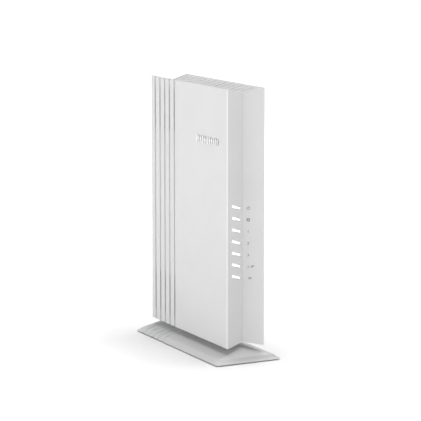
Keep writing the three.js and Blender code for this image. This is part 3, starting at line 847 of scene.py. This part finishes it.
def add_screw(node):
    """A pan head with a cross recess, and a plain shank below it."""
    low, high = (Vector(corner) * 1000 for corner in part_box(node))
    z = (low.z + high.z) / 2
    top, seat = high.y, high.y - 1.6
    shank = [(0, low.y), (1, low.y), (1.3, low.y + 0.4), (1.3, seat)]
    head = [(2.6, seat), (2.8, seat + 0.15), (2.8, seat + 0.5), (2.65, seat + 0.95)]
    head += [(2.2, seat + 1.3), (1.5, seat + 1.5), (0.7, top), (0, top)]
    screw = turned(shank + head, (0, z))
    for half_x, half_z in ((1.7, 0.42), (0.42, 1.7)):
        tool = bmesh.new()
        rows = ((seat + 0.25, 0.35), (top + 0.5, 1))
        corners = ((half_x, half_z), (-half_x, half_z), (-half_x, -half_z), (half_x, -half_z))
        loft(tool, [[mm(u * s, y, z + v * s) for u, v in corners] for y, s in rows])
        screw = carved(screw, tool)
    finish(f"{node}_fine", screw, node)


def add_coax_connector():
    """The threaded barrel with its base and bore."""
    z = middle("coax_connector").z * 1000
    barrel, pitch, depth = 4.75, 0.8, 0.42
    start, end = 69.6, 73.4

    def threaded(y):
        def radius(turn):
            phase = ((y - start) / pitch + turn) % 1
            return barrel - depth * 2 * min(phase, 1 - phase)

        return radius

    steps = 36
    levels = [start + (end - start) * i / steps for i in range(steps + 1)]
    rows = [(threaded(y), y) for y in levels]
    shape = turned(
        [(0, 59), (barrel, 59), (barrel, start - 0.3), (barrel - depth, start - 0.1), *rows]
        + [(barrel - depth - 0.1, 73.7), (barrel - 0.7, 73.8), (3.6, 73.8), (3.4, 73.6), (3.4, 62), (0, 62)],
        (0, z),
    )
    base = bmesh.new()
    box_shape(base, (-6.45, 46, z - 6.8), (6.4, 60, z + 6.8))
    finish("coax_connector_fine", carved(shape, base, "UNION"), "coax_connector", sharp=60)


def add_coax_nut():
    """A hexagonal nut with chamfered faces."""
    z = middle("coax_connector").z * 1000
    low, high = (Vector(corner) * 1000 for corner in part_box("coax_nut"))
    nut = bmesh.new()
    rows = ((low.y, 0.955), (low.y + 0.3, 1), (high.y - 0.3, 1), (high.y, 0.955))
    hexagon = arc((0, 0), 6.6, 90, 450, 6)[:-1]
    loft(nut, [[mm(u * s, y, z + v * s) for u, v in hexagon] for y, s in rows])
    hole = [(0, 60), (5.05, 60), (5.05, high.y - 0.3), (5.4, high.y + 0.1), (5.4, 75), (0, 75)]
    finish("coax_nut_fine", carved(nut, turned(hole, (0, z))), "coax_nut")


def add_coax_insulator():
    """The white core with the hole for the cable's pin."""
    z = middle("coax_connector").z * 1000
    low_y, high_y = (corner[1] * 1000 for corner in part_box("coax_insulator"))
    outside = [(0, low_y), (3.1, low_y), (3.1, high_y - 0.2), (2.9, high_y), (1.1, high_y)]
    pin_hole = [(0.7, high_y - 0.4), (0.7, 64), (0, 64)]
    finish("coax_insulator_fine", turned(outside + pin_hole, (0, z)), "coax_insulator")


def add_power_button():
    """A round cap with a flange behind the panel and a dished face, on a square stem."""
    z = middle("power_button").z * 1000
    flange = [(0, 62.4), (5.1, 62.4), (5.2, 62.5), (5.2, 63.8), (5.1, 63.9)]
    side = [(4.2, 63.9), (4.2, 67.9), (4.13, 68.25), (3.95, 68.5), (3.7, 68.6)]
    dish = [(3.45, 68.58), (2.8, 68.42), (1.6, 68.3), (0, 68.26)]
    cap = turned(flange + side + dish, (0, z))
    stem = bmesh.new()
    box_shape(stem, (-1.6, 58, z - 1.6), (1.6, 63, z + 1.6))
    finish("power_button_fine", carved(cap, stem, "UNION"), "power_button")


def add_pairing_button():
    """A small rounded key with a flange behind the panel."""
    z = middle("pairing_button").z * 1000
    rows = [(62.5, 3, 4.4, 0.8), (63.9, 3, 4.4, 0.8), (63.9, 2, 3.5, 1.2), (67, 2, 3.5, 1.2)]
    rows += [(67.2, 1.95, 3.45, 1.2), (67.34, 1.8, 3.3, 1.1), (67.4, 1.55, 3.05, 0.9)]
    key = bmesh.new()
    loft(key, [[mm(u, y, z + v) for u, v in rounded_rectangle(a, b, r, 6)] for y, a, b, r in rows])
    stem = turned([(0, 56.5), (1.2, 56.5), (1.2, 63), (0, 63)], (0, z), sides=32)
    finish("pairing_button_fine", carved(key, stem, "UNION"), "pairing_button")


def add_reset_button():
    """The pin behind the pinhole."""
    z = middle("reset_button").z * 1000
    low_y, high_y = (corner[1] * 1000 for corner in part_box("reset_button"))
    pin = [(0, low_y), (1, low_y), (1, high_y - 0.25), (0.9, high_y - 0.08), (0.7, high_y), (0, high_y)]
    finish("reset_button_fine", turned(pin, (0, z), sides=32), "reset_button")


def add_badge():
    """The raised bars, with softly rounded outer edges."""
    shape = bmesh.new()
    shape.from_mesh(frame["nodes"]["front_badge"].data)
    bmesh.ops.remove_doubles(shape, verts=shape.verts, dist=1e-6)
    bmesh.ops.dissolve_limit(shape, angle_limit=math.radians(1), verts=shape.verts, edges=shape.edges)
    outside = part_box("front_badge")[0][0]
    rim = [e for e in shape.edges if all(abs(v.co.x - outside) < 1e-6 for v in e.verts)]
    bmesh.ops.bevel(
        shape, geom=rim, offset=mm(0.18), segments=3, profile=0.5, affect="EDGES", clamp_overlap=True
    )
    finish("front_badge_fine", shape, "front_badge")


def add_materials_to_cad():
    """Every CAD node that still shows gets its slot's material."""
    for node, piece in frame["nodes"].items():
        piece.data.materials.clear()
        piece.data.materials.append(MATERIALS[slot_of[node]].material)


add_camera()
add_floor()
add_light()
add_materials_to_cad()
add_shells()
add_stand()
add_feet()
add_badge()
add_rear_panel()
for screw_node in ("panel_screw_upper", "panel_screw_lower"):
    add_screw(screw_node)
add_coax_connector()
add_coax_nut()
add_coax_insulator()
add_power_button()
add_pairing_button()
add_reset_button()
add_signs()
